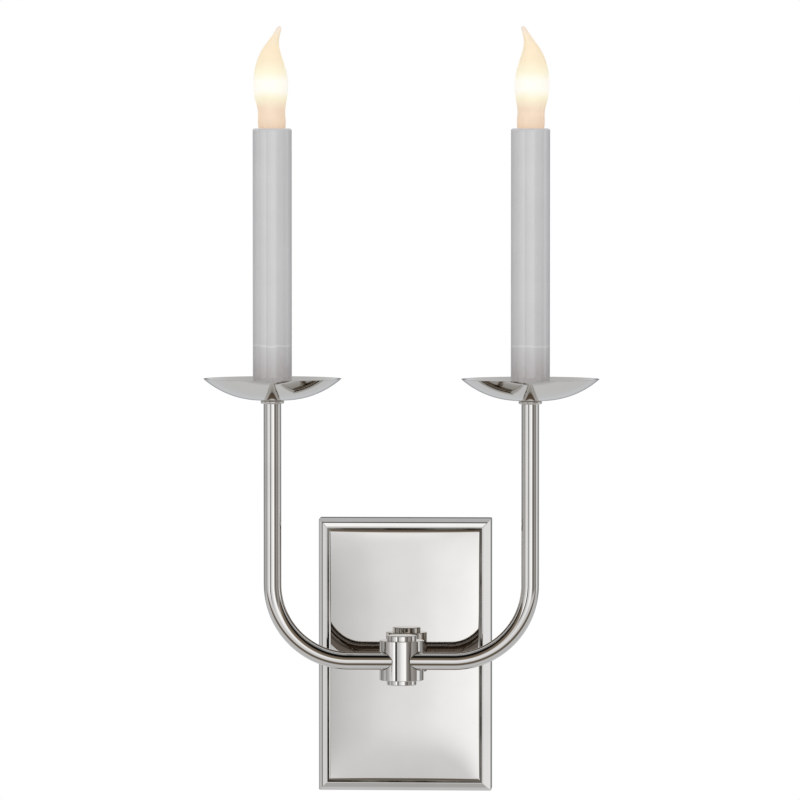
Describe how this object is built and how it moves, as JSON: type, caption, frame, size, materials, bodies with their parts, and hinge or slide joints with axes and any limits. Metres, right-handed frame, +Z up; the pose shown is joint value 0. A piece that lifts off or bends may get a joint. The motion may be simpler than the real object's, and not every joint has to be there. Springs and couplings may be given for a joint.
{
  "type": "double arm wall sconce",
  "caption": "Wall light with a rectangular backplate, a small round hub and curved arms that hold candle sleeves in drip dishes with bent-tip flame bulbs.",
  "frame": {"origin": "on the room wall, on the back face of the wall bracket's strap, at the height of the hub's axis and midway between the candles", "axes": "+Z up, +X to the right of someone who faces the wall, +Y into the wall, so the light stands on the -Y side"},
  "size_m": [0.258, 0.1124, 0.5031],
  "materials": {
    "polished_nickel": "polished nickel plate",
    "candle_sleeve": "satin, like pale wax",
    "frosted_glass": "frosted, lit from inside",
    "lamp_base": "bright plated",
    "zinc_steel": "zinc plated",
    "ground_green": "green, semi-gloss",
    "phenolic": "moulded, dark",
    "contact_brass": "plain brass",
    "solder": "dull solder",
    "black_glass": "opaque black",
    "clear_glass": "clear",
    "lead_wire": "dull nickel wire",
    "filament": "glowing tungsten"
  },
  "bodies": {
    "wall_light": {"backplate": "polished_nickel", "mounting_bracket": "zinc_steel", "backplate_set_screws": "zinc_steel", "ground_screw": "ground_green", "stem_spacer": "polished_nickel", "stem_nipple": "zinc_steel", "stem_washer": "zinc_steel", "stem_locknut": "zinc_steel", "hub_body": "polished_nickel", "hub_top_cap": "polished_nickel", "hub_bottom_cap": "polished_nickel", "left_arm": "polished_nickel", "left_collar": "polished_nickel", "left_dish": "polished_nickel", "left_nipple": "zinc_steel", "left_nipple_nuts": "zinc_steel", "left_socket_bracket": "zinc_steel", "left_socket_screw": "zinc_steel", "left_socket_body": "phenolic", "left_screw_shell": "contact_brass", "left_centre_contact": "contact_brass", "right_arm": "polished_nickel", "right_collar": "polished_nickel", "right_dish": "polished_nickel", "right_nipple": "zinc_steel", "right_nipple_nuts": "zinc_steel", "right_socket_bracket": "zinc_steel", "right_socket_screw": "zinc_steel", "right_socket_body": "phenolic", "right_screw_shell": "contact_brass", "right_centre_contact": "contact_brass"},
    "left_cover": {"left_candle_cover": "candle_sleeve"},
    "left_bulb_end": {"left_bulb_tip_contact": "solder", "left_bulb_insulator": "black_glass"},
    "left_bulb": {"left_bulb_glass": "frosted_glass", "left_bulb_base": "lamp_base", "left_bulb_stem": "clear_glass", "left_bulb_leads": "lead_wire", "left_bulb_filament": "filament"},
    "right_cover": {"right_candle_cover": "candle_sleeve"},
    "right_bulb_end": {"right_bulb_tip_contact": "solder", "right_bulb_insulator": "black_glass"},
    "right_bulb": {"right_bulb_glass": "frosted_glass", "right_bulb_base": "lamp_base", "right_bulb_stem": "clear_glass", "right_bulb_leads": "lead_wire", "right_bulb_filament": "filament"}
  },
  "joints": [
    {"name": "left_cover_lift", "type": "slide", "parent": "wall_light", "child": "left_cover", "axis": [0, 0, 1], "range_m": [0, 0.015]},
    {"name": "left_bulb_rise", "type": "slide", "parent": "wall_light", "child": "left_bulb_end", "axis": [0, 0, 1], "range_m": [0, 0.0089]},
    {"name": "left_bulb_turn", "type": "hinge", "parent": "left_bulb_end", "child": "left_bulb", "pos_m": [-0.084, -0.0674, 0.33], "axis": [0, 0, 1], "range_deg": [0, 1260]},
    {"name": "right_cover_lift", "type": "slide", "parent": "wall_light", "child": "right_cover", "axis": [0, 0, 1], "range_m": [0, 0.015]},
    {"name": "right_bulb_rise", "type": "slide", "parent": "wall_light", "child": "right_bulb_end", "axis": [0, 0, 1], "range_m": [0, 0.0089]},
    {"name": "right_bulb_turn", "type": "hinge", "parent": "right_bulb_end", "child": "right_bulb", "pos_m": [0.084, -0.0674, 0.33], "axis": [0, 0, 1], "range_deg": [0, 1260]}
  ],
  "couplings": [
    {"joint": "left_bulb_rise", "follows": "left_bulb_turn", "m_per_rad": 0.00040425},
    {"joint": "right_bulb_rise", "follows": "right_bulb_turn", "m_per_rad": 0.00040425}
  ]
}
